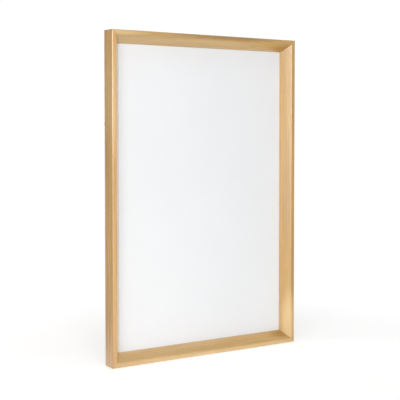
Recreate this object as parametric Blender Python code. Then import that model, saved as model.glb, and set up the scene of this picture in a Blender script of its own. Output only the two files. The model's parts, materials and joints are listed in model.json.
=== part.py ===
"""Deep-set floating frame for a 600 x 900 mm board, hung on a wall by two strap hangers.

Four mitred wooden rails rake inwards from a thin front lip to a white board that sits 32 mm behind the lip.
The board is stiffened by a strainer, closed by a backing board and held by turn buttons.
X runs to the right as seen from the front, Y from the front to the wall, and Z up.
The origin is the middle of the wall plane, which the rear faces of the four bumpers lie in.
"""

import math

import bmesh
import bpy
from mathutils import Matrix, Vector

# ---- driving dimensions, in metres ----
BOARD_WIDTH, BOARD_HEIGHT = 0.600, 0.900
BOARD_CLEARANCE = 0.001  # round the boards, inside the rabbet
RABBET_WALL = 0.0165  # thickness of a rail beside the boards
LIP_WIDTH = 0.013  # flat front face of a rail
RAKE = 0.0225  # how far the inner wall leans in, from the lip to the board
NOSE = 0.0015  # straight edge where the raked wall meets the board
RECESS = 0.032  # from the lip back to the rabbet's seat
RAIL_DEPTH = 0.047
STANDOFF = 0.006  # from the rails' rear faces to the wall plane
GAP = 0.0003  # between pieces that touch

OUTER_EDGE_RADIUS, INNER_EDGE_RADIUS, BACK_EDGE_RADIUS = 0.0028, 0.0024, 0.0008

PANEL_THICKNESS, BACKING_THICKNESS = 0.004, 0.003
STRAINER_WIDTH, STRAINER_INSET = 0.030, 0.003
PANEL_EDGE, BACKING_EDGE, BATTEN_EDGE = 0.0004, 0.0003, 0.0005  # how far their edges are broken

SHEET_STEEL = 0.001  # turn buttons and hanger straps
SCREW_SHANK, SCREW_HEAD_RADIUS, SCREW_HEAD_HEIGHT, SCREW_LENGTH = 0.00145, 0.0031, 0.0020, 0.0125
SCREW_POINT = 0.0035
RECESS_SPAN, RECESS_SLOT, RECESS_DEEP = 0.0034, 0.0008, 0.0011  # the cross in a screw's head

BUTTON_PIVOT_RADIUS, BUTTON_TIP_RADIUS, BUTTON_REACH = 0.0048, 0.0032, 0.0168
BUTTON_BEND_START, BUTTON_BEND_RISE = 0.009, 0.0013
BUTTON_AT = {  # distances along each side from its middle
    "bottom": (-0.16, 0.16),
    "top": (-0.16, 0.16),
    "left": (-0.3, 0.0, 0.3),
    "right": (-0.3, 0.0, 0.3),
}

RING_WIRE = 0.0012  # radius
RING_HALF_WIDTH, RING_STRAIGHT, RING_CORNER = 0.0081, 0.0064, 0.0022  # of the wire's centre line
EYE_RADIUS = RING_WIRE + 0.00035
STRAP_WIDTH, STRAP_LENGTH, STRAP_END_RADIUS = 0.010, 0.042, 0.0045
STRAP_CURL = 292  # degrees that a strap curls round its ring's bar
STRAP_SCREWS = (-0.0225, -0.0350)  # below the eye
HANGER_HEIGHT, HANGER_INSET = 0.215, 0.0105

BUMPER_RADIUS, BUMPER_TOP_RADIUS, BUMPER_EDGE = 0.0060, 0.0052, 0.0006
BUMPER_FROM_END = 0.040

NAIL_LEG, NAIL_SHEET = 0.006, 0.0006
OUTER_NAIL_INSET, OUTER_NAIL_DEEP = 0.0055, 0.012
INNER_NAIL_INSET, INNER_NAIL_DEEP = 0.0195, 0.009

# ---- worked out from them ----
OUT_WIDTH = BOARD_WIDTH + 2 * (BOARD_CLEARANCE + RABBET_WALL)
OUT_HEIGHT = BOARD_HEIGHT + 2 * (BOARD_CLEARANCE + RABBET_WALL)
BACK_Y = -STANDOFF
FRONT_Y = BACK_Y - RAIL_DEPTH
SEAT_Y = FRONT_Y + RECESS
WALL_MIDDLE = RABBET_WALL / 2
PANEL_Y = SEAT_Y + GAP
STRAINER_Y = PANEL_Y + PANEL_THICKNESS + GAP
BACKING_Y = BACK_Y - BACKING_THICKNESS  # flush with the rails, so that the turn buttons hold it
STRAINER_THICKNESS = BACKING_Y - GAP - STRAINER_Y
HARDWARE_Y = BACK_Y + GAP  # where straps and buttons start
SCREW_SEAT_Y = HARDWARE_Y + SHEET_STEEL + GAP
RING_Y = HARDWARE_Y + EYE_RADIUS + SHEET_STEEL
MITRE_TRIM = GAP / 2 * math.sqrt(2)

SIDES = {"bottom": 0, "left": 90, "top": 180, "right": 270}  # degrees about Y
CORNERS = {"bottom_left": (-1, -1), "bottom_right": (1, -1), "top_left": (-1, 1), "top_right": (1, 1)}


# ---- materials ----
def material(name, colour, roughness, metallic=0.0):
    made = bpy.data.materials.new(name)
    made.use_nodes = True
    shader = made.node_tree.nodes["Principled BSDF"]
    shader.inputs["Base Color"].default_value = (*colour, 1.0)
    shader.inputs["Roughness"].default_value = roughness
    shader.inputs["Metallic"].default_value = metallic
    return made


def all_materials():
    return {
        "frame_wood": material("frame_wood", (0.56, 0.35, 0.16), 0.45),
        "white_board": material("white_board", (0.88, 0.88, 0.88), 0.4),
        "strainer_wood": material("strainer_wood", (0.62, 0.46, 0.27), 0.7),
        "hardboard": material("hardboard", (0.24, 0.13, 0.06), 0.6),
        "zinc_plate": material("zinc_plate", (0.68, 0.68, 0.66), 0.35, 1.0),
        "nickel_plate": material("nickel_plate", (0.72, 0.69, 0.64), 0.22, 1.0),
        "nail_steel": material("nail_steel", (0.45, 0.45, 0.46), 0.45, 1.0),
        "rubber": material("rubber", (0.03, 0.03, 0.03), 0.75),
    }


# ---- building blocks ----
def link(name, data, finish, matrix=None):
    """A new object in the scene, placed by matrix."""
    made = bpy.data.objects.new(name, data)
    bpy.context.scene.collection.objects.link(made)
    if finish is not None and not data.materials:
        data.materials.append(finish)
    made.matrix_world = matrix if matrix is not None else Matrix.Identity(4)
    return made


def mesh_of(name, points, faces):
    """A mesh with all its faces pointing out."""
    mesh = bpy.data.meshes.new(name)
    mesh.from_pydata(points, [], faces)
    work = bmesh.new()
    work.from_mesh(mesh)
    bmesh.ops.remove_doubles(work, verts=work.verts, dist=1e-7)
    bmesh.ops.recalc_face_normals(work, faces=work.faces)
    work.to_mesh(mesh)
    work.free()
    return mesh


def extruded(name, outline, low, high, to_xyz, end_shift=None):
    """A prism of a flat outline, from low to high along t.

    to_xyz turns (a, b, t) into a point. end_shift gives how far both ends step in at a point of the outline.
    """
    count = len(outline)
    shift = end_shift or (lambda a, b: 0.0)
    points = [to_xyz(a, b, low + shift(a, b)) for a, b in outline]
    points += [to_xyz(a, b, high - shift(a, b)) for a, b in outline]
    faces = [tuple(range(count)), tuple(range(count, 2 * count))]
    faces += [(i, (i + 1) % count, count + (i + 1) % count, count + i) for i in range(count)]
    return mesh_of(name, points, faces)


def along_y(a, b, t):
    return (a, t, b)


def along_x(a, b, t):
    return (t, a, b)


def turned(name, profile, steps):
    """A solid turned about Y from (radius, y) points that start and end on the axis."""
    rings = profile[1:-1]
    points = [(0.0, profile[0][1], 0.0)]
    for radius, y in rings:
        for step in range(steps):
            angle = 2 * math.pi * step / steps
            points.append((radius * math.cos(angle), y, radius * math.sin(angle)))
    points.append((0.0, profile[-1][1], 0.0))
    last = len(points) - 1
    faces = []
    for step in range(steps):
        after = (step + 1) % steps
        faces.append((0, 1 + step, 1 + after))
        faces.append((last, last - steps + after, last - steps + step))
        for ring in range(len(rings) - 1):
            here, there = 1 + ring * steps, 1 + (ring + 1) * steps
            faces.append((here + step, there + step, there + after, here + after))
    return mesh_of(name, points, faces)


def filleted(corners, steps=5):
    """An outline whose corners, given as (a, b, radius), are rounded."""
    outline = []
    for index, (a, b, radius) in enumerate(corners):
        if not radius:
            outline.append((a, b))
            continue
        point = Vector((a, b))
        before = (Vector(corners[index - 1][:2]) - point).normalized()
        after = (Vector(corners[(index + 1) % len(corners)][:2]) - point).normalized()
        half = before.angle(after) / 2
        centre = point + (before + after).normalized() * radius / math.sin(half)
        start = point + before * radius / math.tan(half) - centre
        end = point + after * radius / math.tan(half) - centre
        sweep = start.angle_signed(end)
        for step in range(steps + 1):
            outline.append(tuple(centre + Matrix.Rotation(-sweep * step / steps, 2) @ start))
    return outline


def shaded_round(mesh, angle=35):
    mesh.shade_smooth()
    mesh.set_sharp_from_angle(angle=math.radians(angle))
    return mesh


def slab(name, low, high, edge):
    """A rectangular piece with its edges broken."""
    work = bmesh.new()
    bmesh.ops.create_cube(work, size=1.0)
    low, high = Vector(low), Vector(high)
    for vertex in work.verts:
        vertex.co = Vector(low[i] + (high[i] - low[i]) * (vertex.co[i] + 0.5) for i in range(3))
    bmesh.ops.bevel(work, geom=work.edges, offset=edge, segments=1, affect="EDGES")
    mesh = bpy.data.meshes.new(name)
    work.to_mesh(mesh)
    work.free()
    return mesh


def cutter(name, mesh, matrix=None):
    made = link(name, mesh, None, matrix)
    made.hide_render = True
    made.display_type = "WIRE"
    return made


def cut(obj, tool):
    modifier = obj.modifiers.new("cut_" + tool.name, "BOOLEAN")
    modifier.operation = "DIFFERENCE"
    modifier.object = tool


def joined(name, parts):
    """One mesh from separate (mesh, matrix) parts."""
    work = bmesh.new()
    for mesh, matrix in parts:
        copy = mesh.copy()
        copy.transform(matrix)
        work.from_mesh(copy)
        bpy.data.meshes.remove(copy)
    made = bpy.data.meshes.new(name)
    work.to_mesh(made)
    work.free()
    return made


def cut_mesh(name, mesh, tool_mesh):
    """The mesh with the tool's shape cut out of it, for a piece that is used several times."""
    body, tool = link(name + "_body", mesh, None), link(name + "_tool", tool_mesh, None)
    cut(body, tool)
    bpy.context.view_layer.update()
    made = bpy.data.meshes.new_from_object(body.evaluated_get(bpy.context.evaluated_depsgraph_get()))
    made.name = name
    bpy.data.objects.remove(body)
    bpy.data.objects.remove(tool)
    return made


def side_matrix(side):
    """Local X runs along that side, Z inwards from its outer face, and Y is the frame's own."""
    half = (OUT_HEIGHT if side in ("bottom", "top") else OUT_WIDTH) / 2
    return Matrix.Rotation(math.radians(SIDES[side]), 4, "Y") @ Matrix.Translation((0, 0, -half))


# ---- shapes ----
def rail_outline():
    """The rail's section as (y, distance in from the outer face)."""
    return filleted(
        [
            (FRONT_Y, 0.0, OUTER_EDGE_RADIUS),
            (FRONT_Y, LIP_WIDTH, INNER_EDGE_RADIUS),
            (SEAT_Y - NOSE, LIP_WIDTH + RAKE, 0),
            (SEAT_Y, LIP_WIDTH + RAKE, 0),
            (SEAT_Y, RABBET_WALL, 0),
            (BACK_Y, RABBET_WALL, 0),
            (BACK_Y, 0.0, BACK_EDGE_RADIUS),
        ]
    )


def rail_mesh(name, length):
    """A rail whose mitred ends step in with the distance from its outer face."""
    half = length / 2 - MITRE_TRIM
    return extruded(name, rail_outline(), -half, half, along_x, end_shift=lambda y, inward: inward)


def screw_mesh():
    """A pan-head wood screw along Y, with its head's underside at 0 and a cross recess in the head."""
    dome = []
    for angle in (0.45, 0.95, 1.4):
        share = 0.35 + 0.65 * math.cos(angle)
        dome.append((SCREW_HEAD_RADIUS * math.sin(angle), SCREW_HEAD_HEIGHT * share))
    profile = [(0.0, SCREW_HEAD_HEIGHT), *dome, (SCREW_HEAD_RADIUS, 0.0), (SCREW_SHANK, 0.0)]
    profile += [(SCREW_SHANK, SCREW_POINT - SCREW_LENGTH), (0.0, -SCREW_LENGTH)]
    solid = turned("screw_solid", profile, 12)
    arm, half = RECESS_SPAN / 2, RECESS_SLOT / 2
    quarter = [Vector((half, half)), Vector((half, arm)), Vector((-half, arm))]
    cross = [tuple(Matrix.Rotation(math.radians(90 * turn), 2) @ p) for turn in range(4) for p in quarter]
    floor = SCREW_HEAD_HEIGHT - RECESS_DEEP
    tool = extruded("screw_recess", cross, floor, 2 * SCREW_HEAD_HEIGHT, along_y)
    return shaded_round(cut_mesh("wood_screw", solid, tool))


def button_half_widths():
    """(distance from the pivot, half width) along a turn button, round at both ends."""
    lean = math.asin((BUTTON_PIVOT_RADIUS - BUTTON_TIP_RADIUS) / BUTTON_REACH)
    big = [math.pi - (math.pi / 2 + lean) * step / 6 for step in range(7)]
    small = [(math.pi / 2 - lean) * (1 - step / 5) for step in range(6)]
    stations = [(BUTTON_PIVOT_RADIUS * math.cos(a), BUTTON_PIVOT_RADIUS * math.sin(a)) for a in big]
    (near, wide), far = stations[-1], BUTTON_REACH + BUTTON_TIP_RADIUS * math.cos(small[0])
    narrow = BUTTON_TIP_RADIUS * math.sin(small[0])
    for share in (0.5, 0.62, 0.74, 0.87):
        stations.append((near + (far - near) * share, wide + (narrow - wide) * share))
    for a in small:
        stations.append((BUTTON_REACH + BUTTON_TIP_RADIUS * math.cos(a), BUTTON_TIP_RADIUS * math.sin(a)))
    return stations


def button_mesh():
    """A flat steel button that lies along +Z from its pivot, with its tip bent away from the board."""
    tip = BUTTON_REACH + BUTTON_TIP_RADIUS
    points, faces = [], []
    stations = button_half_widths()
    for distance, half_width in stations:
        share = max(0.0, (distance - BUTTON_BEND_START) / (tip - BUTTON_BEND_START))
        rise = BUTTON_BEND_RISE * share * share
        for x in (-half_width, half_width):
            for y in (0.0, SHEET_STEEL):
                points.append((x, y + rise, distance))
    for i in range(len(stations) - 1):
        a, b = 4 * i, 4 * (i + 1)
        for first, second in ((0, 1), (1, 3), (3, 2), (2, 0)):
            faces.append((a + first, a + second, b + second, b + first))
    plate = mesh_of("button_plate", points, faces)
    hole_profile = [(0, -SHEET_STEEL), (SCREW_SHANK + GAP, -SHEET_STEEL)]
    hole_profile += [(SCREW_SHANK + GAP, 2 * SHEET_STEEL), (0, 2 * SHEET_STEEL)]
    return shaded_round(cut_mesh("turn_button", plate, turned("button_hole", hole_profile, 16)))


def strap_mesh():
    """A hanger strap with its eye at the origin: a plate below it, curled round the ring's bar at the top."""
    outer, steps = EYE_RADIUS + SHEET_STEEL, 14
    start, sweep = -math.pi / 2, math.radians(STRAP_CURL)
    angles = [start + sweep * step / steps for step in range(steps + 1)]
    outline = [(outer * math.sin(a), outer * math.cos(a)) for a in angles]
    outline += [(EYE_RADIUS * math.sin(a), EYE_RADIUS * math.cos(a)) for a in reversed(angles)]
    outline += [(-EYE_RADIUS, -STRAP_LENGTH), (-outer, -STRAP_LENGTH)]
    mesh = extruded("strap_blank", outline, -STRAP_WIDTH / 2, STRAP_WIDTH / 2, along_x)
    work = bmesh.new()
    work.from_mesh(mesh)
    ends = []
    for edge in work.edges:
        first, second = edge.verts
        at_foot = all(abs(vertex.co.z + STRAP_LENGTH) < 1e-6 for vertex in edge.verts)
        if at_foot and abs(first.co.x - second.co.x) < 1e-6:
            ends.append(edge)
    bmesh.ops.bevel(work, geom=ends, offset=STRAP_END_RADIUS, segments=4, profile=0.5, affect="EDGES")
    work.to_mesh(mesh)
    work.free()
    hole = turned("strap_hole", [(0, 0.004), (SCREW_SHANK + GAP, 0.004), (SCREW_SHANK + GAP, 0), (0, 0)], 16)
    holes = joined("strap_holes", [(hole, Matrix.Translation((0, -outer - 0.001, z))) for z in STRAP_SCREWS])
    return shaded_round(cut_mesh("hanger_strap", mesh, holes))


def ring_curve():
    """A D-shaped wire ring whose straight bar lies along X at the origin and whose bow hangs below it."""
    side = RING_HALF_WIDTH
    bow = [math.pi * step / 12 for step in range(13)]
    corners = [
        (-side, -RING_STRAIGHT, 0),
        (-side, 0, RING_CORNER),
        (side, 0, RING_CORNER),
        (side, -RING_STRAIGHT, 0),
    ]
    path = filleted(corners, 3)
    path += [(side * math.cos(a), -RING_STRAIGHT - side * math.sin(a)) for a in bow[1:-1]]
    curve = bpy.data.curves.new("hanger_ring", "CURVE")
    curve.dimensions = "3D"
    curve.bevel_depth = RING_WIRE
    curve.bevel_resolution = 2
    spline = curve.splines.new("POLY")
    spline.points.add(len(path) - 1)
    for point, (x, z) in zip(spline.points, path):
        point.co = (x, 0.0, z, 1.0)
    spline.use_cyclic_u = True
    return curve


def bumper_mesh():
    """A round rubber bumper standing on Y = 0."""
    high = STANDOFF - GAP
    profile = [(0, 0), (BUMPER_RADIUS, 0), (BUMPER_TOP_RADIUS, high - BUMPER_EDGE)]
    profile += [(BUMPER_TOP_RADIUS - BUMPER_EDGE, high), (0, high)]
    return shaded_round(turned("bumper", profile, 20), 50)


def nail_outline(grow=0.0):
    """A corner nail's V, with its point at the origin and its legs along +X and +Z, grown for its slot."""
    low, high, leg = -NAIL_SHEET / 2 - grow, NAIL_SHEET / 2 + grow, NAIL_LEG + grow
    return [(low, low), (leg, low), (leg, high), (high, high), (high, leg), (low, leg)]


# ---- placing ----
def screw_places():
    """Each screw's name and place, as (name, matrix)."""
    places = []
    for side, stations in BUTTON_AT.items():
        for number, along in enumerate(stations, 1):
            matrix = side_matrix(side) @ Matrix.Translation((along, SCREW_SEAT_Y, WALL_MIDDLE))
            places.append((f"button_screw_{side}_{number}", matrix))
    for side, sign in (("left", -1), ("right", 1)):
        for name, below in zip(("upper", "lower"), STRAP_SCREWS):
            x = sign * (OUT_WIDTH / 2 - HANGER_INSET)
            matrix = Matrix.Translation((x, SCREW_SEAT_Y, HANGER_HEIGHT + below))
            places.append((f"hanger_screw_{side}_{name}", matrix))
    return places


def nail_places():
    """Each corner nail's name, place, depth and the y of its rear end."""
    rows = [
        ("outer", OUTER_NAIL_INSET, OUTER_NAIL_DEEP, BACK_Y),
        ("inner", INNER_NAIL_INSET, INNER_NAIL_DEEP, SEAT_Y),
    ]
    places = []
    for corner, (right, up) in CORNERS.items():
        turn = {(-1, -1): 0, (1, -1): 270, (1, 1): 180, (-1, 1): 90}[right, up]
        for row, inset, deep, rear in rows:
            x, z = right * (OUT_WIDTH / 2 - inset), up * (OUT_HEIGHT / 2 - inset)
            matrix = Matrix.Translation((x, 0, z)) @ Matrix.Rotation(math.radians(turn), 4, "Y")
            places.append((f"v_nail_{corner}_{row}", matrix, deep, rear))
    return places


def hole_cutter():
    """Every pilot hole and nail slot in the rails, as one tool."""
    radius, deep = SCREW_SHANK + GAP, SCREW_LENGTH + GAP
    profile = [(0, -deep), (radius, -deep), (radius, STANDOFF), (0, STANDOFF)]
    pilot = turned("pilot", profile, 12)
    parts = [(pilot, matrix) for _, matrix in screw_places()]
    for name, matrix, deep, rear in nail_places():
        slot = extruded(name + "_slot", nail_outline(GAP), rear - deep - 2 * GAP, rear + GAP, along_y)
        parts.append((slot, matrix))
    return cutter("rail_holes", joined("rail_holes", parts))


def add_rails(finish):
    holes = hole_cutter()
    for side in SIDES:
        length = OUT_WIDTH if side in ("bottom", "top") else OUT_HEIGHT
        mesh = rail_mesh("rail_" + side, length)
        rail = link("rail_" + side, shaded_round(mesh, 25), finish, side_matrix(side))
        cut(rail, holes)


def add_nails(finish):
    for name, matrix, deep, rear in nail_places():
        mesh = extruded(name, nail_outline(), rear - deep - GAP, rear - GAP, along_y)
        link(name, mesh, finish, matrix)


def centred_slab(name, width, height, front, thickness, edge, finish, middle=(0.0, 0.0)):
    low = (middle[0] - width / 2, front, middle[1] - height / 2)
    high = (middle[0] + width / 2, front + thickness, middle[1] + height / 2)
    link(name, slab(name, low, high, edge), finish)


def add_boards(finishes):
    size, white, brown = (BOARD_WIDTH, BOARD_HEIGHT), finishes["white_board"], finishes["hardboard"]
    centred_slab("float_panel", *size, PANEL_Y, PANEL_THICKNESS, PANEL_EDGE, white)
    centred_slab("backing_board", *size, BACKING_Y, BACKING_THICKNESS, BACKING_EDGE, brown)
    wide, high = BOARD_WIDTH - 2 * STRAINER_INSET, BOARD_HEIGHT - 2 * STRAINER_INSET
    upright = high - 2 * (STRAINER_WIDTH + GAP)
    between = wide - 2 * (STRAINER_WIDTH + GAP)
    out, up = (wide - STRAINER_WIDTH) / 2, (high - STRAINER_WIDTH) / 2
    battens = {
        "strainer_top": (wide, STRAINER_WIDTH, (0, up)),
        "strainer_bottom": (wide, STRAINER_WIDTH, (0, -up)),
        "strainer_left": (STRAINER_WIDTH, upright, (-out, 0)),
        "strainer_right": (STRAINER_WIDTH, upright, (out, 0)),
        "strainer_crossbar": (between, STRAINER_WIDTH, (0, 0)),
    }
    for name, (width, height, middle) in battens.items():
        finish = finishes["strainer_wood"]
        centred_slab(name, width, height, STRAINER_Y, STRAINER_THICKNESS, BATTEN_EDGE, finish, middle)


def add_buttons(finish):
    mesh = button_mesh()
    for side, stations in BUTTON_AT.items():
        for number, along in enumerate(stations, 1):
            matrix = side_matrix(side) @ Matrix.Translation((along, HARDWARE_Y, WALL_MIDDLE))
            link(f"turn_button_{side}_{number}", mesh, finish, matrix)


def add_screws(finish):
    mesh = screw_mesh()
    for name, matrix in screw_places():
        link(name, mesh, finish, matrix)


def add_hangers(finish):
    strap, ring = strap_mesh(), ring_curve()
    for side, sign in (("left", -1), ("right", 1)):
        eye = Matrix.Translation((sign * (OUT_WIDTH / 2 - HANGER_INSET), RING_Y, HANGER_HEIGHT))
        link("hanger_strap_" + side, strap, finish, eye)
        link("hanger_ring_" + side, ring, finish, eye)


def add_bumpers(finish):
    mesh = bumper_mesh()
    for corner, (right, up) in CORNERS.items():
        x, z = right * (OUT_WIDTH / 2 - WALL_MIDDLE), up * (OUT_HEIGHT / 2 - BUMPER_FROM_END)
        link("bumper_" + corner, mesh, finish, Matrix.Translation((x, BACK_Y + GAP, z)))


def main():
    for old in list(bpy.data.objects):
        bpy.data.objects.remove(old)
    finishes = all_materials()
    add_rails(finishes["frame_wood"])
    add_nails(finishes["nail_steel"])
    add_boards(finishes)
    add_buttons(finishes["zinc_plate"])
    add_screws(finishes["zinc_plate"])
    add_hangers(finishes["nickel_plate"])
    add_bumpers(finishes["rubber"])


main()
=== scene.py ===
import json
import math

import bmesh
import bpy
from mathutils import Matrix, Vector


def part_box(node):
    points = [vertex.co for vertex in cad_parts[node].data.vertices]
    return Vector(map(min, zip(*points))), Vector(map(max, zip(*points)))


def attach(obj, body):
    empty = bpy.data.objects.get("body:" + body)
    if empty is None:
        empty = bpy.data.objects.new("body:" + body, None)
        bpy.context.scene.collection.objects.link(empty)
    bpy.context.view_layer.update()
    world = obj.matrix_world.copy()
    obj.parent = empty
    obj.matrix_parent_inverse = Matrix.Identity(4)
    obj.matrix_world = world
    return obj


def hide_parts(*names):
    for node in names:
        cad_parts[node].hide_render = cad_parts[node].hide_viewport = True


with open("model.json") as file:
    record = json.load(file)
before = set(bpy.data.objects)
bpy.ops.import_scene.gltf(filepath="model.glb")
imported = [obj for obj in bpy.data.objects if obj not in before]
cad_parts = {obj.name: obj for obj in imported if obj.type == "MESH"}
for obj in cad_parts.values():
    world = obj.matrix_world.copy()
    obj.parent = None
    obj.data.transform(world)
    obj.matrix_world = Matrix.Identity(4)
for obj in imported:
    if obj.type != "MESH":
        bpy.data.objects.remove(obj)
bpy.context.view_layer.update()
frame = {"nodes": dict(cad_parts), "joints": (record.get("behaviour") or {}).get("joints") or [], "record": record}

# ---- the frame's own sizes, in metres, as the CAD has them ----
LOW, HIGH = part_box("rail_left")[0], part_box("rail_right")[1]
FRONT_Y, BACK_Y = LOW.y, HIGH.y
OUT_WIDTH = HIGH.x - LOW.x
OUT_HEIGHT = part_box("rail_top")[1].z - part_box("rail_bottom")[0].z
GAP = 0.0003  # between pieces that touch
LIP_WIDTH = 0.013  # flat front face of a rail
RAKE = 0.0225  # how far the inner wall leans in, from the lip to the board
NOSE = 0.0015  # straight edge where the raked wall meets the board
RABBET_WALL = 0.0165  # thickness of a rail beside the boards
SEAT_Y = FRONT_Y + 0.032  # the rabbet's seat, behind the lip
OUTER_EDGE_RADIUS, INNER_EDGE_RADIUS, BACK_EDGE_RADIUS = 0.0028, 0.0024, 0.0008
MITRE_TRIM = GAP / 2 * math.sqrt(2)
MITRE_EDGE = 0.00025  # how far a rail's cut ends are softened

SHEET_STEEL = 0.001  # turn buttons and hanger straps
STEEL_EDGE = 0.00022  # how far stamped steel's edges are rounded
SCREW_SHANK, SCREW_HEAD_RADIUS, SCREW_HEAD_HEIGHT, SCREW_LENGTH = 0.00145, 0.0031, 0.0020, 0.0125
SCREW_POINT, SCREW_HEAD_EDGE = 0.0035, 0.0001
SCREW_DOME = 0.65  # the share of a screw head's height that is domed
SCREW_TURN = 37  # degrees from one screw's cross to the next one's
RECESS_SPAN, RECESS_SLOT, RECESS_DEEP = 0.0034, 0.0008, 0.0011  # the cross in a screw's head
HOLE_RADIUS = SCREW_SHANK + GAP

RING_WIRE = 0.0012  # radius
RING_HALF_WIDTH, RING_STRAIGHT, RING_CORNER = 0.0081, 0.0064, 0.0022  # of the wire's centre line
EYE_RADIUS = RING_WIRE + 0.00035
STRAP_WIDTH, STRAP_LENGTH, STRAP_END_RADIUS = 0.010, 0.042, 0.0045
STRAP_CURL = 292  # degrees that a strap curls round its ring's bar
STRAP_SCREWS = (-0.0225, -0.0350)  # below the eye

BUTTON_PIVOT_RADIUS, BUTTON_TIP_RADIUS, BUTTON_REACH = 0.0048, 0.0032, 0.0168
BUTTON_BEND_START, BUTTON_BEND_RISE = 0.009, 0.0013

BUMPER_RADIUS, BUMPER_TOP_RADIUS, BUMPER_HEIGHT, BUMPER_EDGE = 0.0060, 0.0052, 0.0057, 0.0006
BUMPER_FOOT = 0.0004  # straight edge where it meets the rail
BUMPER_DRAFT = 0.00005  # how far its sloping side ends outside its rounded edge
DISH_RADIUS, DISH_FLOOR_RADIUS, DISH_DEEP = 0.0026, 0.0022, 0.0004  # the hollow in a bumper's top

SIDES = {"bottom": 0, "left": 90, "top": 180, "right": 270}  # degrees about Y

# ---- the camera ----
CAMERA_AT = (-1.5402, -2.3795, 0.1909)
CAMERA_YAW, CAMERA_PITCH = math.radians(32.95), math.radians(2.25)  # to the right, and down
CAMERA_LENS, SENSOR_WIDTH, CAMERA_SHIFT = 86.1, 36.0, -0.08

# ---- light ----
BRIGHT_SIDE = Vector((-0.6, -0.8, 0.0))  # the studio's walls are bright there, and dim on the far side
BRIGHT_FROM, BRIGHT_TO = -0.4, 0.8  # how far towards that side the walls start and end getting brighter
SKY_DIM, SKY_BRIGHT = 0.1, 0.3  # the studio's glow that falls on things
MIRROR_DIM, MIRROR_BRIGHT = 0.33, 0.91  # the studio's glow that shows in glossy surfaces
BACKDROP = 1.02  # the white that the camera sees behind everything
FLOOR_DROP = 0.002  # below the frame
FLOOR_GLOW = 0.42  # the floor's own glow, which keeps the frame's shadow on it faint
FLOOR_FADE = (0.45, 1.1)  # how far from the frame the floor starts and ends turning into the white backdrop
GLOW_FADE = (1.4, 3.6)  # how far from it the floor's own glow starts and ends fading
FLOOR_HALF_WIDTH = 30.0
LIGHTS_AIM = Vector((0, 0, 0))  # the middle of the frame's wall plane
SOFTBOXES = {  # place, width, height and power
    "key_softbox": ((-2.2, -1.7, 0.55), 1.0, 2.4, 18.5),
    "front_softbox": ((-1.6, -3.0, 0.8), 1.6, 1.6, 44.0),
    "top_softbox": ((0, -0.6, 2.6), 1.8, 1.8, 17.0),
    "back_softbox": ((0.25, 2.6, 1.9), 1.4, 1.4, 30.0),
}

# ---- the rails' wood ----
RAIL_RING_GAP, BARE_RING_GAP = 0.0042, 0.0036  # between growth rings
RAIL_SEED_START, RAIL_SEED_STEP = 0.6, 1.7  # give each rail its own stretch of the wood
PALE, TAN, DARK = (0.670, 0.399, 0.105), (0.562, 0.317, 0.074), (0.324, 0.147, 0.036)
BARE_PALE, BARE_DARK = (0.60, 0.46, 0.28), (0.38, 0.25, 0.12)
RAIL_TONES_AND_SHEEN = {  # each rail is cut from its own board, with a little more or less red, green and blue; the bottom rail's much higher green and blue is also a painted reflection
    # painted reflection: the bottom rail's raised green and blue stand in for the pale sheen on its lip and inner
    # wall, on top of its own paler wood
    "bottom": (1.09, 1.20, 1.75),
    "left": (1.08, 1.05, 1.15),
    "top": (0.935, 0.98, 1.02),
    "right": (0.96, 0.94, 0.80),
}
# the dark colour is heartwood in the streaks, and painted shade where it darkens the right-hand inner corners
HEARTWOOD_AND_SHADE, SAPWOOD = (0.36, 0.178, 0.024), (0.86, 0.60, 0.27)
STREAKS_AND_SHADE = {  # broad streaks, and patches of painted shade: colour, share, place along the rail, place in from its outer face, length, width
    "bottom": [
        # painted shade: darkens the bottom rail's inner wall at its right-hand corner
        (HEARTWOOD_AND_SHADE, 0.9, 0.295, 0.0265, 0.07, 0.014),
        (SAPWOOD, 0.65, 0.18, 0.0045, 0.3, 0.008),
    ],
    "left": [(SAPWOOD, 0.5, -0.28, 0.005, 0.18, 0.008)],
    "top": [
        (HEARTWOOD_AND_SHADE, 0.9, -0.07, 0.0055, 0.24, 0.0085),
        # painted shade: darkens the top rail's inner wall at its right-hand corner
        (HEARTWOOD_AND_SHADE, 0.75, -0.29, 0.0265, 0.055, 0.014),
        (SAPWOOD, 0.5, 0.29, 0.006, 0.1, 0.009),
    ],
    "right": [
        (HEARTWOOD_AND_SHADE, 0.45, -0.03, 0.021, 0.25, 0.01),
        (HEARTWOOD_AND_SHADE, 0.55, -0.2, 0.006, 0.17, 0.007),
        (SAPWOOD, 0.7, -0.41, 0.016, 0.12, 0.02),
    ],
}


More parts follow.
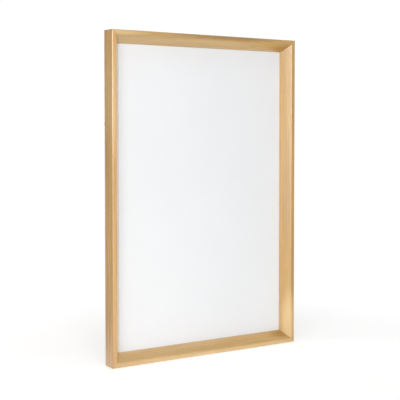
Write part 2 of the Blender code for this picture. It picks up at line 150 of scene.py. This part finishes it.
# ---- writing materials ----
class Graph:
    """A node graph, written as nested calls."""

    def __init__(self, tree):
        self.tree = tree

    def add(self, kind, inputs, **settings):
        """A new node. inputs holds a number or a link for each socket, by its name or number."""
        node = self.tree.nodes.new("ShaderNode" + kind)
        for key, value in settings.items():
            setattr(node, key, value)
        for key, value in inputs.items():
            if isinstance(value, bpy.types.NodeSocket):
                self.tree.links.new(value, node.inputs[key])
            else:
                node.inputs[key].default_value = value
        return node

    def spread(self, value, low, high, to_low=0.0, to_high=1.0):
        """A value's range from low to high, spread smoothly over to_low to to_high."""
        inputs = {"Value": value, "From Min": low, "From Max": high, "To Min": to_low, "To Max": to_high}
        return self.add("MapRange", inputs, interpolation_type="SMOOTHSTEP").outputs["Result"]

    def maths(self, operation, first, second=0.0):
        return self.add("Math", {0: first, 1: second}, operation=operation).outputs["Value"]

    def emission(self, strength):
        """An even white glow."""
        return self.add("Emission", {"Color": (1, 1, 1, 1), "Strength": strength}).outputs["Emission"]

    def studio(self, direction, dim, bright):
        """How bright the studio is in a direction, from dim on its far side to bright on its bright side."""
        towards = self.add("VectorMath", {0: direction, 1: BRIGHT_SIDE}, operation="DOT_PRODUCT")
        return self.spread(towards.outputs["Value"], BRIGHT_FROM, BRIGHT_TO, dim, bright)

    def shown(self, lighting, mirrored, seen):
        """What lights things, except that mirror rays find mirrored and camera rays find seen."""
        rays = self.add("LightPath", {}).outputs
        found = self.add("MixShader", {0: rays["Is Glossy Ray"], 1: lighting, 2: mirrored}).outputs["Shader"]
        return self.add("MixShader", {0: rays["Is Camera Ray"], 1: found, 2: seen}).outputs["Shader"]


class Nodes(Graph):
    """A material's node graph."""

    def __init__(self, name):
        self.material = bpy.data.materials.new(name)
        self.material.use_nodes = True
        super().__init__(self.material.node_tree)
        self.shader = self.tree.nodes["Principled BSDF"]
        self.place = self.tree.nodes.new("ShaderNodeTexCoord").outputs["Object"]

    def stretched(self, scale, shift=(0, 0, 0)):
        """The place in the object, scaled along each axis and shifted."""
        inputs = {"Vector": self.place, "Location": shift, "Scale": scale}
        return self.add("Mapping", inputs).outputs["Vector"]

    def noise(self, vector, detail=2.0, roughness=0.5, distortion=0.0):
        inputs = {"Vector": vector, "Scale": 1.0, "Detail": detail, "Roughness": roughness}
        inputs["Distortion"] = distortion
        return self.add("TexNoise", inputs).outputs["Fac"]

    def mixed(self, share, first, second):
        """A colour that goes from first to second with share."""

        def colour(value):
            return value if isinstance(value, bpy.types.NodeSocket) else (*value, 1.0)

        inputs = {0: share, 6: colour(first), 7: colour(second)}
        return self.add("Mix", inputs, data_type="RGBA").outputs[2]

    def bump(self, height, strength, distance):
        inputs = {"Height": height, "Strength": strength, "Distance": distance}
        return self.add("Bump", inputs).outputs["Normal"]

    def finish(self, colour, roughness, normal=None, **constants):
        """Connects the shader. constants are its plain sockets, by name with _ for a space."""
        for name, value in (("Base Color", colour), ("Roughness", roughness), ("Normal", normal)):
            if isinstance(value, bpy.types.NodeSocket):
                self.tree.links.new(value, self.shader.inputs[name])
            elif value is not None:
                self.shader.inputs[name].default_value = value
        for name, value in constants.items():
            self.shader.inputs[name.replace("_", " ")].default_value = value
        return self.material


def grain(nodes, seed, ring_gap, pith):
    """Long-grained wood along X: (growth rings, streaks, fine fibres), each from 0 to 1.

    ring_gap is the distance between growth rings, and pith is the tree's middle, as a shift in Y and Z.
    """
    inputs = {
        "Vector": nodes.stretched((0.05, 1, 1), (seed, *pith)),
        "Scale": 2 * math.pi / (20 * ring_gap),  # at scale 1 the wave turns by 20 radians a metre
        "Distortion": 5.0,
        "Detail": 2.0,
        "Detail Scale": 0.35,
        "Detail Roughness": 0.55,
    }
    rings = nodes.add("TexWave", inputs, wave_type="RINGS", rings_direction="X", wave_profile="SAW")
    long_place = nodes.stretched((5, 300, 300), (seed * 3, 0, 0))
    streaks = nodes.noise(long_place, detail=3.0, roughness=0.6, distortion=0.4)
    fibres = nodes.noise(nodes.stretched((70, 2600, 2600), (seed * 5, 0, 0)), detail=2.0, roughness=0.6)
    return rings.outputs["Fac"], streaks, fibres


def rail_wood(name, seed, pale, tan, dark, streaks_and_shade):
    """Pale hardwood under satin lacquer, with the broad streaks and the patches of painted corner shade that are
    listed for it.
    """
    nodes = Nodes(name)
    rings, streaks, fibres = grain(nodes, seed, RAIL_RING_GAP, (0.021 + 0.006 * math.sin(seed), -0.07))
    broad = nodes.noise(nodes.stretched((2.2, 30, 30), (seed * 2, 0, 0)), detail=2.0, roughness=0.5)
    colour = nodes.mixed(nodes.spread(broad, 0.3, 0.7), pale, tan)
    colour = nodes.mixed(nodes.spread(rings, 0.25, 1.0, 0.0, 0.22), colour, dark)
    colour = nodes.mixed(nodes.spread(streaks, 0.5, 0.75, 0.0, 0.42), colour, dark)
    colour = nodes.mixed(nodes.spread(streaks, 0.25, 0.42, 0.25, 0.0), colour, pale)
    colour = nodes.mixed(nodes.spread(fibres, 0.56, 0.74, 0.0, 0.3), colour, dark)
    # heartwood and sapwood streaks; the dark patches at the right-hand inner corners are painted shade
    for wood, share, along, inwards, length, width in streaks_and_shade:
        middle = nodes.stretched((1 / length, 0, 1 / width), (-along / length, 0, -inwards / width))
        reach = nodes.add("VectorMath", {0: middle}, operation="LENGTH").outputs["Value"]
        ragged = nodes.maths("ADD", reach, nodes.maths("MULTIPLY", streaks, 0.8))
        colour = nodes.mixed(nodes.spread(ragged, 0.7, 1.5, share, 0.0), colour, wood)
    height = nodes.maths("ADD", nodes.maths("MULTIPLY", fibres, 0.7), nodes.maths("MULTIPLY", streaks, 0.5))
    normal = nodes.bump(height, 0.25, 0.00012)
    rough = nodes.spread(streaks, 0.3, 0.7, 0.2, 0.32)
    return nodes.finish(colour, rough, normal, Coat_Weight=1.0, Coat_Roughness=0.18, Coat_IOR=1.9)


def bare_wood(name, seed, pale, dark):
    """Sawn wood with no finish."""
    nodes = Nodes(name)
    rings, streaks, fibres = grain(nodes, seed, BARE_RING_GAP, (0.03, -0.08))
    colour = nodes.mixed(nodes.spread(rings, 0.2, 1.0, 0.0, 0.5), pale, dark)
    colour = nodes.mixed(nodes.spread(streaks, 0.45, 0.75, 0.0, 0.5), colour, dark)
    colour = nodes.mixed(nodes.spread(fibres, 0.55, 0.7, 0.0, 0.45), colour, dark)
    saw = nodes.noise(nodes.stretched((700, 40, 40), (seed, 0, 0)), detail=1.0)
    height = nodes.maths("ADD", fibres, nodes.maths("MULTIPLY", saw, 0.5))
    normal = nodes.bump(height, 0.5, 0.0003)
    return nodes.finish(colour, nodes.spread(fibres, 0.3, 0.7, 0.72, 0.88), normal, Specular_IOR_Level=0.3)


def board_white():
    """A smooth board with a satin white face."""
    nodes = Nodes("satin_white_board")
    mottle = nodes.noise(nodes.stretched((3, 3, 3)), detail=3.0)
    tooth = nodes.noise(nodes.stretched((900, 900, 900)), detail=3.0, roughness=0.6)
    colour = nodes.mixed(nodes.spread(mottle, 0.3, 0.7), (0.85, 0.861, 0.873), (0.87, 0.880, 0.890))
    colour = nodes.mixed(nodes.spread(tooth, 0.35, 0.65, 0.0, 0.12), colour, (0.79, 0.80, 0.81))
    rough = nodes.spread(tooth, 0.3, 0.7, 0.5, 0.6)
    return nodes.finish(colour, rough, nodes.bump(tooth, 0.15, 0.0001), Specular_IOR_Level=0.4)


def hardboard_brown():
    """Pressed fibreboard: mottled brown with loose fibres showing."""
    nodes = Nodes("hardboard_brown")
    clouds = nodes.noise(nodes.stretched((14, 14, 14)), detail=5.0, roughness=0.65)
    fibres = nodes.noise(nodes.stretched((420, 420, 420)), detail=4.0, roughness=0.7, distortion=1.6)
    flecks = nodes.noise(nodes.stretched((160, 160, 900)), detail=2.0, distortion=2.5)
    colour = nodes.mixed(nodes.spread(clouds, 0.3, 0.7), (0.255, 0.140, 0.068), (0.290, 0.163, 0.082))
    colour = nodes.mixed(nodes.spread(fibres, 0.4, 0.7, 0.0, 0.6), colour, (0.42, 0.265, 0.145))
    colour = nodes.mixed(nodes.spread(flecks, 0.62, 0.7, 0.0, 0.55), colour, (0.13, 0.066, 0.032))
    normal = nodes.bump(nodes.maths("ADD", fibres, flecks), 0.35, 0.0002)
    return nodes.finish(colour, nodes.spread(fibres, 0.3, 0.7, 0.5, 0.7), normal, Specular_IOR_Level=0.4)


def plated_steel(name, bright, dull, rough_low, rough_high):
    """Plated sheet or wire, with faint clouding and scratches, duller in the scratches."""
    nodes = Nodes(name)
    clouds = nodes.noise(nodes.stretched((260, 260, 260)), detail=4.0, roughness=0.6)
    scratches = nodes.noise(nodes.stretched((300, 2500, 4000)), detail=2.0, distortion=0.6)
    colour = nodes.mixed(nodes.spread(clouds, 0.3, 0.7), bright, dull)
    colour = nodes.mixed(nodes.spread(scratches, 0.6, 0.75, 0.0, 0.35), colour, dull)
    clouded = nodes.spread(clouds, 0.3, 0.7, rough_low, rough_high)
    rough = nodes.maths("ADD", clouded, nodes.maths("MULTIPLY", scratches, 0.08))
    return nodes.finish(colour, rough, nodes.bump(scratches, 0.12, 0.00005), Metallic=1.0)


def black_rubber():
    """Moulded rubber with a little dust on it."""
    nodes = Nodes("black_rubber")
    dust = nodes.noise(nodes.stretched((500, 500, 500)), detail=4.0, roughness=0.7)
    dusty = nodes.spread(dust, 0.45, 0.75, 0.0, 0.6)
    colour = nodes.mixed(dusty, (0.022, 0.022, 0.023), (0.075, 0.072, 0.068))
    return nodes.finish(colour, nodes.spread(dust, 0.3, 0.7, 0.6, 0.8), nodes.bump(dust, 0.3, 0.0001))


# ---- shapes ----
def mesh_of(name, points, faces):
    """A mesh with all its faces pointing out."""
    mesh = bpy.data.meshes.new(name)
    mesh.from_pydata(points, [], faces)
    work = bmesh.new()
    work.from_mesh(mesh)
    bmesh.ops.remove_doubles(work, verts=work.verts, dist=1e-7)
    bmesh.ops.recalc_face_normals(work, faces=work.faces)
    work.to_mesh(mesh)
    work.free()
    return mesh


def extruded(name, outline, low, high, to_xyz, end_shift=None, cuts=1):
    """A prism of a flat outline, from low to high along t, cut into equal lengths.

    to_xyz turns (a, b, t) into a point. end_shift gives how far both ends step in at a point of the outline.
    """
    count = len(outline)
    shift = end_shift or (lambda a, b: 0.0)
    points, faces = [], []
    for cut_number in range(cuts + 1):
        share = cut_number / cuts
        for a, b in outline:
            start, end = low + shift(a, b), high - shift(a, b)
            points.append(to_xyz(a, b, start + (end - start) * share))
    for cut_number in range(cuts):
        near, far = count * cut_number, count * (cut_number + 1)
        for i in range(count):
            after = (i + 1) % count
            faces.append((near + i, near + after, far + after, far + i))
    faces += [tuple(range(count)), tuple(range(count * cuts, count * (cuts + 1)))]
    return mesh_of(name, points, faces)


def along_y(a, b, t):
    """A point of a prism that runs along Y, for extruded."""
    return (a, t, b)


def along_x(a, b, t):
    """A point of a prism that runs along X, for extruded."""
    return (t, a, b)


def turned(name, profile, steps):
    """A solid turned about Y from (radius, y) points that start and end on the axis."""
    rings = profile[1:-1]
    points = [(0.0, profile[0][1], 0.0)]
    for radius, y in rings:
        for step in range(steps):
            angle = 2 * math.pi * step / steps
            points.append((radius * math.cos(angle), y, radius * math.sin(angle)))
    points.append((0.0, profile[-1][1], 0.0))
    last = len(points) - 1
    faces = []
    for step in range(steps):
        after = (step + 1) % steps
        faces.append((0, 1 + step, 1 + after))
        faces.append((last, last - steps + after, last - steps + step))
        for ring in range(len(rings) - 1):
            here, there = 1 + ring * steps, 1 + (ring + 1) * steps
            faces.append((here + step, there + step, there + after, here + after))
    return mesh_of(name, points, faces)


def filleted(corners, steps):
    """An outline whose corners, given as (a, b, radius), are rounded."""
    outline = []
    for index, (a, b, radius) in enumerate(corners):
        if not radius:
            outline.append((a, b))
            continue
        point = Vector((a, b))
        before = (Vector(corners[index - 1][:2]) - point).normalized()
        after = (Vector(corners[(index + 1) % len(corners)][:2]) - point).normalized()
        half = before.angle(after) / 2
        centre = point + (before + after).normalized() * radius / math.sin(half)
        start = point + before * radius / math.tan(half) - centre
        end = point + after * radius / math.tan(half) - centre
        sweep = start.angle_signed(end)
        for step in range(steps + 1):
            outline.append(tuple(centre + Matrix.Rotation(-sweep * step / steps, 2) @ start))
    return outline


def shaded_round(mesh, angle=35):
    """The mesh, shaded smooth except at edges sharper than angle."""
    mesh.shade_smooth()
    mesh.set_sharp_from_angle(angle=math.radians(angle))
    return mesh


def piece(name, mesh, finishes, body, stands_for, matrix):
    """A new piece that stands for a CAD node and moves with its body."""
    made = bpy.data.objects.new(name, mesh)
    bpy.context.scene.collection.objects.link(made)
    if not mesh.materials:
        for finish in finishes:
            mesh.materials.append(finish)
    made.matrix_world = matrix
    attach(made, body)
    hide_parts(stands_for)
    return made


def tool(name, mesh):
    """A shape that only cuts others."""
    made = bpy.data.objects.new(name, mesh)
    bpy.context.scene.collection.objects.link(made)
    made.hide_render = True
    made.display_type = "WIRE"
    return made


def applied(name, mesh, change):
    """The mesh with modifiers applied. change adds them to an object, and returns the tools they use."""
    body = bpy.data.objects.new(name, mesh)
    bpy.context.scene.collection.objects.link(body)
    tools = change(body)
    bpy.context.view_layer.update()
    made = bpy.data.meshes.new_from_object(body.evaluated_get(bpy.context.evaluated_depsgraph_get()))
    made.name = name
    for old in (body, *tools):
        bpy.data.objects.remove(old)
    return made


def bevelled(obj, width, angle=35):
    """Rounds the object's edges that are sharper than angle."""
    modifier = obj.modifiers.new("soft_edges", "BEVEL")
    modifier.width = width
    modifier.segments = 2
    modifier.limit_method = "ANGLE"
    modifier.angle_limit = math.radians(angle)
    modifier.harden_normals = True


def cut(obj, cutting):
    """Cuts one object's shape out of another."""
    modifier = obj.modifiers.new("cut_" + cutting.name, "BOOLEAN")
    modifier.operation = "DIFFERENCE"
    modifier.object = cutting


def joined(name, parts):
    """One mesh from separate (mesh, matrix) parts."""
    work = bmesh.new()
    for mesh, matrix in parts:
        copy = mesh.copy()
        copy.transform(matrix)
        work.from_mesh(copy)
        bpy.data.meshes.remove(copy)
    made = bpy.data.meshes.new(name)
    work.to_mesh(made)
    work.free()
    return made


def side_matrix(side):
    """Local X runs along that side, Z inwards from its outer face, and Y is the frame's own."""
    half = (OUT_HEIGHT if side in ("bottom", "top") else OUT_WIDTH) / 2
    return Matrix.Rotation(math.radians(SIDES[side]), 4, "Y") @ Matrix.Translation((0, 0, -half))


def middle_of(node):
    """The middle of a CAD node's box."""
    low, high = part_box(node)
    return (low + high) / 2


# ---- the rails ----
def rail_outline():
    """The rail's section as (y, distance in from the outer face)."""
    corners = [
        (FRONT_Y, 0.0, OUTER_EDGE_RADIUS),
        (FRONT_Y, LIP_WIDTH, INNER_EDGE_RADIUS),
        (SEAT_Y - NOSE, LIP_WIDTH + RAKE, 0),
        (SEAT_Y, LIP_WIDTH + RAKE, 0),
        (SEAT_Y, RABBET_WALL, 0),
        (BACK_Y, RABBET_WALL, 0),
        (BACK_Y, 0.0, BACK_EDGE_RADIUS),
    ]
    return filleted(corners, 8)


def rail_mesh(name, length):
    """A rail whose mitred ends step in with the distance from its outer face.

    Its rear face and its rabbet are bare wood, the second of its materials.
    """
    half = length / 2 - MITRE_TRIM
    mesh = extruded(name, rail_outline(), -half, half, along_x, end_shift=lambda y, inward: inward, cuts=12)
    shaded_round(mesh, 25)
    for face in mesh.polygons:
        in_rabbet = face.center.y > SEAT_Y - GAP and face.normal.z > 0.5
        bare = face.normal.y > 0.9 or in_rabbet
        face.material_index = 1 if bare else 0
    return mesh


def rail_holes():
    """Every pilot hole and nail slot in the rails, as one tool."""
    holes = []
    for name in frame["nodes"]:
        if "screw" in name:
            low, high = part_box(name)
            seat_y = high.y - SCREW_HEAD_HEIGHT
            deep, above = seat_y - low.y, 2 * SCREW_HEAD_HEIGHT
            profile = [(0, -deep), (HOLE_RADIUS, -deep), (HOLE_RADIUS, above), (0, above)]
            at = Matrix.Translation((middle_of(name).x, seat_y, middle_of(name).z))
            holes.append((turned("pilot", profile, 24), at))
        elif name.startswith("v_nail"):
            nail = frame["nodes"][name].data.copy()
            holes.append((nail, Matrix.Translation((0, 2 * GAP, 0))))
    return tool("rail_holes", joined("rail_holes", holes))


def rail_finishes(side, seed):
    """A rail's lacquered wood and its bare wood."""
    tone_and_sheen = RAIL_TONES_AND_SHEEN[side]
    shades = [[share * part for share, part in zip(tone_and_sheen, shade)] for shade in (PALE, TAN, DARK)]
    lacquered = rail_wood("lacquered_wood_" + side, seed, *shades, STREAKS_AND_SHADE[side])
    return [lacquered, bare_wood("bare_wood_" + side, seed, BARE_PALE, BARE_DARK)]


def add_rails():
    holes = rail_holes()
    for number, side in enumerate(SIDES):
        node = "rail_" + side
        mesh = rail_mesh(node, OUT_WIDTH if side in ("bottom", "top") else OUT_HEIGHT)
        finishes = rail_finishes(side, RAIL_SEED_STEP * number + RAIL_SEED_START)
        rail = piece("wood_" + node, mesh, finishes, "frame", node, side_matrix(side))
        bevelled(rail, MITRE_EDGE)
        cut(rail, holes)


# ---- the hardware ----
def screw_mesh():
    """A pan-head wood screw along Y, with its head's underside at 0 and a cross recess in the head."""
    profile = [(0.0, SCREW_HEAD_HEIGHT)]
    for step in range(9):
        angle = 0.15 + 0.155 * step
        share = 1 - SCREW_DOME * (1 - math.cos(angle))
        profile.append((SCREW_HEAD_RADIUS * math.sin(angle), SCREW_HEAD_HEIGHT * share))
    profile += [(SCREW_HEAD_RADIUS, SCREW_HEAD_EDGE), (SCREW_HEAD_RADIUS - SCREW_HEAD_EDGE, 0.0)]
    profile += [(SCREW_SHANK, 0.0), (SCREW_SHANK, SCREW_POINT - SCREW_LENGTH), (0.0, -SCREW_LENGTH)]
    solid = shaded_round(turned("screw_solid", profile, 32))
    arm, half = RECESS_SPAN / 2, RECESS_SLOT / 2
    quarter = [Vector((half, half)), Vector((half, arm)), Vector((-half, arm))]
    cross = [tuple(Matrix.Rotation(math.radians(90 * turn), 2) @ p) for turn in range(4) for p in quarter]
    floor = SCREW_HEAD_HEIGHT - RECESS_DEEP

    def change(body):
        shape = extruded("screw_recess", cross, floor, 2 * SCREW_HEAD_HEIGHT, along_y)
        recess = tool("screw_recess", shape)
        cut(body, recess)
        return [recess]

    return shaded_round(applied("pan_head_screw", solid, change))


def button_mesh():
    """A stamped steel button along +Z from its pivot, with its tip bent away from the board."""
    lean = math.asin((BUTTON_PIVOT_RADIUS - BUTTON_TIP_RADIUS) / BUTTON_REACH)
    big = [math.pi - (math.pi / 2 + lean) * step / 12 for step in range(13)]
    small = [(math.pi / 2 - lean) * (1 - step / 10) for step in range(11)]
    stations = [(BUTTON_PIVOT_RADIUS * math.cos(a), BUTTON_PIVOT_RADIUS * math.sin(a)) for a in big]
    tips = [(BUTTON_REACH + BUTTON_TIP_RADIUS * math.cos(a), BUTTON_TIP_RADIUS * math.sin(a)) for a in small]
    (near, wide), (far, narrow) = stations[-1], tips[0]
    for step in range(1, 10):
        stations.append((near + (far - near) * step / 10, wide + (narrow - wide) * step / 10))
    stations += tips
    tip = BUTTON_REACH + BUTTON_TIP_RADIUS
    points, faces = [], []
    for distance, half_width in stations:
        share = max(0.0, (distance - BUTTON_BEND_START) / (tip - BUTTON_BEND_START))
        rise = BUTTON_BEND_RISE * share * share
        for x in (-half_width, half_width):
            points += [(x, rise, distance), (x, rise + SHEET_STEEL, distance)]
    for i in range(len(stations) - 1):
        a, b = 4 * i, 4 * (i + 1)
        for first, second in ((0, 1), (1, 3), (3, 2), (2, 0)):
            faces.append((a + first, a + second, b + second, b + first))
    plate = shaded_round(mesh_of("button_plate", points, faces), 50)
    below, above = -SHEET_STEEL, 2 * SHEET_STEEL
    profile = [(0, below), (HOLE_RADIUS, below), (HOLE_RADIUS, above), (0, above)]

    def change(body):
        hole = tool("button_hole", turned("button_hole", profile, 24))
        cut(body, hole)
        bevelled(body, STEEL_EDGE, 50)
        return [hole]

    return applied("stamped_button", plate, change)


def strap_mesh():
    """A hanger strap with its eye at the origin: a plate below it, curled round the ring's bar at the top."""
    outer, steps = EYE_RADIUS + SHEET_STEEL, 32
    start, sweep = -math.pi / 2, math.radians(STRAP_CURL)
    angles = [start + sweep * step / steps for step in range(steps + 1)]
    outline = [(outer * math.sin(a), outer * math.cos(a)) for a in angles]
    outline += [(EYE_RADIUS * math.sin(a), EYE_RADIUS * math.cos(a)) for a in reversed(angles)]
    outline += [(-EYE_RADIUS, -STRAP_LENGTH), (-outer, -STRAP_LENGTH)]
    blank = extruded("strap_blank", outline, -STRAP_WIDTH / 2, STRAP_WIDTH / 2, along_x)
    work = bmesh.new()
    work.from_mesh(blank)
    ends = []
    for edge in work.edges:
        first, second = edge.verts
        at_foot = all(abs(vertex.co.z + STRAP_LENGTH) < 1e-6 for vertex in edge.verts)
        if at_foot and abs(first.co.x - second.co.x) < 1e-6:
            ends.append(edge)
    bmesh.ops.bevel(work, geom=ends, offset=STRAP_END_RADIUS, segments=10, profile=0.5, affect="EDGES")
    work.to_mesh(blank)
    work.free()
    deep = 4 * SHEET_STEEL
    hole = turned("strap_hole", [(0, deep), (HOLE_RADIUS, deep), (HOLE_RADIUS, 0), (0, 0)], 24)
    places = [Matrix.Translation((0, -outer - SHEET_STEEL, below)) for below in STRAP_SCREWS]
    holes = joined("strap_holes", [(hole, place) for place in places])

    def change(body):
        cutting = tool("strap_holes", holes)
        cut(body, cutting)
        bevelled(body, STEEL_EDGE, 50)
        return [cutting]

    return applied("rolled_strap", shaded_round(blank), change)


def ring_mesh():
    """A D-shaped wire ring whose straight bar lies along X at the origin and whose bow hangs below it."""
    side = RING_HALF_WIDTH
    bow = [math.pi * step / 32 for step in range(33)]
    corners = [
        (-side, -RING_STRAIGHT, 0),
        (-side, 0, RING_CORNER),
        (side, 0, RING_CORNER),
        (side, -RING_STRAIGHT, 0),
    ]
    path = filleted(corners, 8)
    path += [(side * math.cos(a), -RING_STRAIGHT - side * math.sin(a)) for a in bow[1:-1]]
    curve = bpy.data.curves.new("ring_path", "CURVE")
    curve.dimensions = "3D"
    curve.bevel_depth = RING_WIRE
    curve.bevel_resolution = 6
    spline = curve.splines.new("POLY")
    spline.points.add(len(path) - 1)
    for point, (x, z) in zip(spline.points, path):
        point.co = (x, 0.0, z, 1.0)
    spline.use_cyclic_u = True
    holder = bpy.data.objects.new("ring_path", curve)
    mesh = bpy.data.meshes.new_from_object(holder)
    bpy.data.objects.remove(holder)
    return shaded_round(mesh, 60)


def bumper_mesh():
    """A moulded bumper that stands on Y = 0, with a rounded top edge and a shallow dish in its top."""
    profile = [(0, 0), (BUMPER_RADIUS, 0), (BUMPER_RADIUS, BUMPER_FOOT)]
    profile.append((BUMPER_TOP_RADIUS + BUMPER_DRAFT, BUMPER_HEIGHT - BUMPER_EDGE))
    for step in range(1, 7):
        angle = math.pi / 2 * step / 6
        radius = BUMPER_TOP_RADIUS - BUMPER_EDGE * (1 - math.cos(angle))
        profile.append((radius, BUMPER_HEIGHT - BUMPER_EDGE * (1 - math.sin(angle))))
    floor = BUMPER_HEIGHT - DISH_DEEP
    profile += [(DISH_RADIUS, BUMPER_HEIGHT), (DISH_FLOOR_RADIUS, floor), (0, floor)]
    return shaded_round(turned("moulded_bumper", profile, 40), 40)


def add_hardware():
    """Screws, turn buttons, hangers and bumpers, at the places that the frame gives."""
    zinc = plated_steel("zinc_plate", (0.72, 0.73, 0.74), (0.56, 0.57, 0.57), 0.28, 0.42)
    nickel = plated_steel("nickel_plate", (0.78, 0.75, 0.70), (0.64, 0.61, 0.56), 0.16, 0.28)
    rubber = black_rubber()
    screw, button, strap, ring, bumper = screw_mesh(), button_mesh(), strap_mesh(), ring_mesh(), bumper_mesh()
    bodies = frame["record"]["behaviour"]["bodies"]
    body_of = {node: body for body, members in bodies.items() for node in members}
    for joint in frame["joints"]:
        node = bodies[joint["child"]][0]
        pivot = Matrix.Translation(joint["pos_m"])
        if node.startswith("hanger_ring"):
            piece("wire_" + node, ring, [nickel], body_of[node], node, pivot)
            plate = node.replace("ring", "strap")
            piece("rolled_" + plate, strap, [nickel], "frame", plate, pivot)
        else:
            side = node.split("_")[2]
            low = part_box(node)[0]
            at = Matrix.Translation((joint["pos_m"][0], low.y, joint["pos_m"][2]))
            turn = Matrix.Rotation(math.radians(SIDES[side]), 4, "Y")
            piece("stamped_" + node, button, [zinc], body_of[node], node, at @ turn)
    for number, node in enumerate(sorted(n for n in frame["nodes"] if "screw" in n)):
        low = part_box(node)[0]
        seat = Matrix.Translation((middle_of(node).x, low.y + SCREW_LENGTH, middle_of(node).z))
        turn = Matrix.Rotation(math.radians(SCREW_TURN * number), 4, "Y")
        piece("pan_head_" + node, screw, [zinc], "frame", node, seat @ turn)
    for node in sorted(n for n in frame["nodes"] if n.startswith("bumper")):
        at = Matrix.Translation((middle_of(node).x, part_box(node)[0].y, middle_of(node).z))
        piece("moulded_" + node, bumper, [rubber], "frame", node, at)


def finish_boards():
    """The flat boards, battens and nails keep their CAD shapes and get their materials."""
    nail = plated_steel("nail_steel", (0.50, 0.50, 0.52), (0.34, 0.33, 0.33), 0.35, 0.55)
    finishes = {"float_panel": board_white(), "backing_board": hardboard_brown()}
    pine = bare_wood("pine_across", 4.2, (0.68, 0.52, 0.31), (0.47, 0.31, 0.15))
    for name, node in frame["nodes"].items():
        if name.startswith("strainer"):
            finishes[name] = pine
        elif name.startswith("v_nail"):
            finishes[name] = nail
        if name in finishes:
            node.data.materials.clear()
            node.data.materials.append(finishes[name])


# ---- the studio ----
def add_stage():
    """A pale sheet under the frame. The camera sees it fade into the studio's white within about a metre."""
    nodes = Nodes("pale_floor")
    speckle = nodes.noise(nodes.stretched((3, 3, 3)), detail=3.0)
    colour = nodes.mixed(nodes.spread(speckle, 0.3, 0.7), (0.90, 0.90, 0.90), (0.92, 0.92, 0.92))
    finish = nodes.finish(colour, 0.9, Specular_IOR_Level=0.0)
    level_place = nodes.stretched((1, 1, 0))
    distance = nodes.add("VectorMath", {0: level_place}, operation="LENGTH").outputs["Value"]
    outwards = nodes.add("VectorMath", {0: level_place}, operation="NORMALIZE").outputs["Vector"]
    nodes.shader.inputs["Emission Color"].default_value = (1, 1, 1, 1)
    glow = nodes.spread(distance, *GLOW_FADE, FLOOR_GLOW, 0.0)
    nodes.tree.links.new(glow, nodes.shader.inputs["Emission Strength"])
    sheet, far = nodes.shader.outputs["BSDF"], nodes.spread(distance, *FLOOR_FADE)
    mirrored = nodes.emission(nodes.studio(outwards, MIRROR_DIM, MIRROR_BRIGHT))
    seen = nodes.add("MixShader", {0: far, 1: sheet, 2: nodes.emission(BACKDROP)}).outputs["Shader"]
    shown = nodes.shown(sheet, mirrored, seen)
    nodes.tree.links.new(shown, nodes.tree.nodes["Material Output"].inputs["Surface"])
    half, level = FLOOR_HALF_WIDTH, -OUT_HEIGHT / 2 - FLOOR_DROP
    corners = [(-half, -half, level), (half, -half, level), (half, half, level), (-half, half, level)]
    floor = bpy.data.objects.new("studio_floor", mesh_of("studio_floor", corners, [(0, 1, 2, 3)]))
    bpy.context.scene.collection.objects.link(floor)
    floor.data.materials.append(finish)


def add_world():
    """A white studio, brighter on the left and in front. The camera sees it as an even white."""
    world = bpy.data.worlds.new("white_studio")
    world.use_nodes = True
    graph = Graph(world.node_tree)
    direction = graph.tree.nodes.new("ShaderNodeTexCoord").outputs["Generated"]
    lighting = graph.emission(graph.studio(direction, SKY_DIM, SKY_BRIGHT))
    mirrored = graph.emission(graph.studio(direction, MIRROR_DIM, MIRROR_BRIGHT))
    shown = graph.shown(lighting, mirrored, graph.emission(BACKDROP))
    graph.tree.links.new(shown, graph.tree.nodes["World Output"].inputs["Surface"])
    bpy.context.scene.world = world


def add_lights():
    for name, (place, width, height, power) in SOFTBOXES.items():
        data = bpy.data.lights.new(name, "AREA")
        data.shape = "RECTANGLE"
        data.size = width
        data.size_y = height
        data.energy = power
        light = bpy.data.objects.new(name, data)
        bpy.context.scene.collection.objects.link(light)
        light.location = place
        light.rotation_euler = (LIGHTS_AIM - Vector(place)).to_track_quat("-Z", "Y").to_euler()


def add_camera():
    data = bpy.data.cameras.new("camera")
    data.lens = CAMERA_LENS
    data.sensor_width = SENSOR_WIDTH
    data.shift_y = CAMERA_SHIFT
    camera = bpy.data.objects.new("camera", data)
    bpy.context.scene.collection.objects.link(camera)
    level = math.cos(CAMERA_PITCH)
    ahead = Vector((math.sin(CAMERA_YAW) * level, math.cos(CAMERA_YAW) * level, -math.sin(CAMERA_PITCH)))
    camera.location = CAMERA_AT
    camera.rotation_euler = ahead.to_track_quat("-Z", "Y").to_euler()
    bpy.context.scene.camera = camera


bpy.context.scene.view_settings.view_transform = "Standard"
add_rails()
add_hardware()
finish_boards()
add_stage()
add_world()
add_lights()
add_camera()
